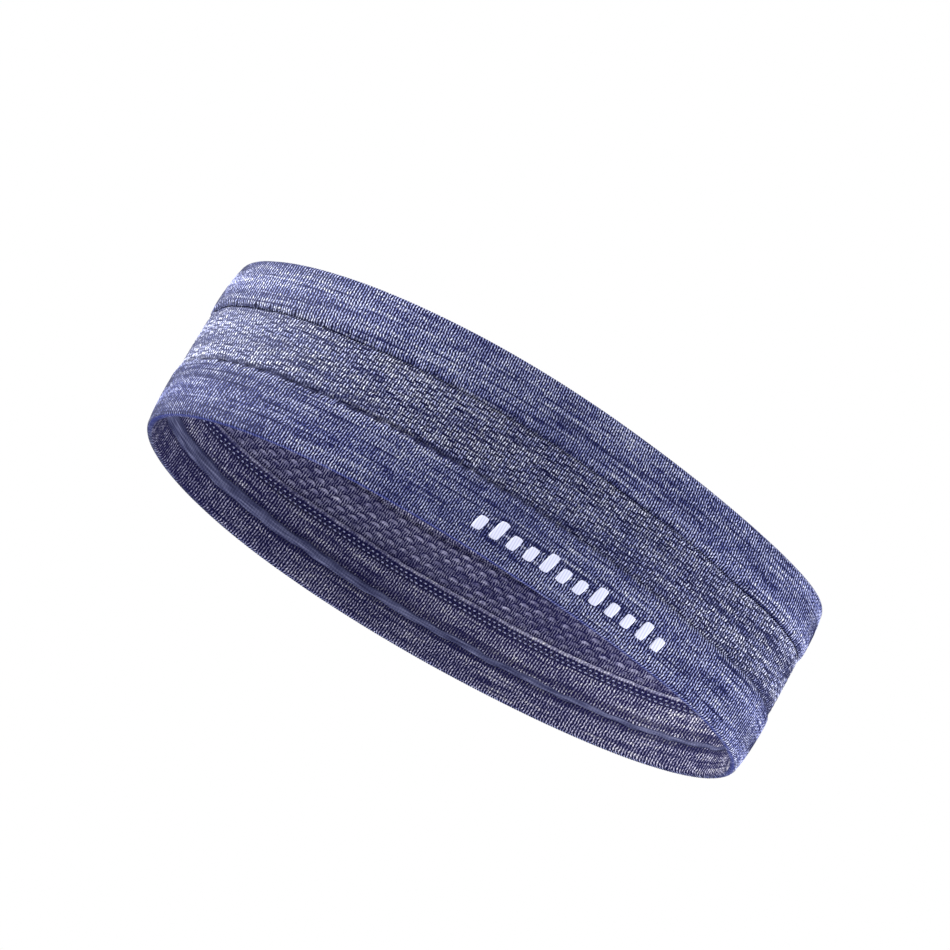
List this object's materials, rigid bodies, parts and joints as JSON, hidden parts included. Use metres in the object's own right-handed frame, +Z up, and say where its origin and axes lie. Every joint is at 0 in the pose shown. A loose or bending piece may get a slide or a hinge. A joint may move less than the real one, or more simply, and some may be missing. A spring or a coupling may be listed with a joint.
{
  "type": "sports headband",
  "caption": "Seamless knitted sweatband: a mesh panel between two folded hems, with a silicone grip strip inside and slanted printed marks on the front.",
  "frame": {"origin": "middle of the footprint, at the lower rim on which the band stands", "axes": "+X along the loop's long way, to the right seen from the front; the printed front faces -Y; +Z up from the lower rim to the upper rim"},
  "size_m": [0.208, 0.11, 0.06],
  "materials": {
    "hem_knit": "heathered plain knit, blue-violet with pale flecks",
    "panel_knit": "heathered mesh knit, blue-violet with dark dashes",
    "stitch_thread": "pale polyester thread",
    "silicone": "translucent satin silicone",
    "print_film": "matt heat-transfer film"
  },
  "bodies": {
    "root": {"lower_hem": "hem_knit", "mesh_panel": "panel_knit", "upper_hem": "hem_knit", "lower_seam_thread_rim_side": "stitch_thread", "lower_seam_thread_panel_side": "stitch_thread", "upper_seam_thread_rim_side": "stitch_thread", "upper_seam_thread_panel_side": "stitch_thread", "silicone_grip_strip": "silicone", "print_mark_01": "print_film", "print_mark_02": "print_film", "print_mark_03": "print_film", "print_mark_04": "print_film", "print_mark_05": "print_film", "print_mark_06": "print_film", "print_mark_07": "print_film", "print_mark_08": "print_film", "print_mark_09": "print_film", "print_mark_10": "print_film", "print_mark_11": "print_film", "print_mark_12": "print_film"}
  },
  "joints": []
}
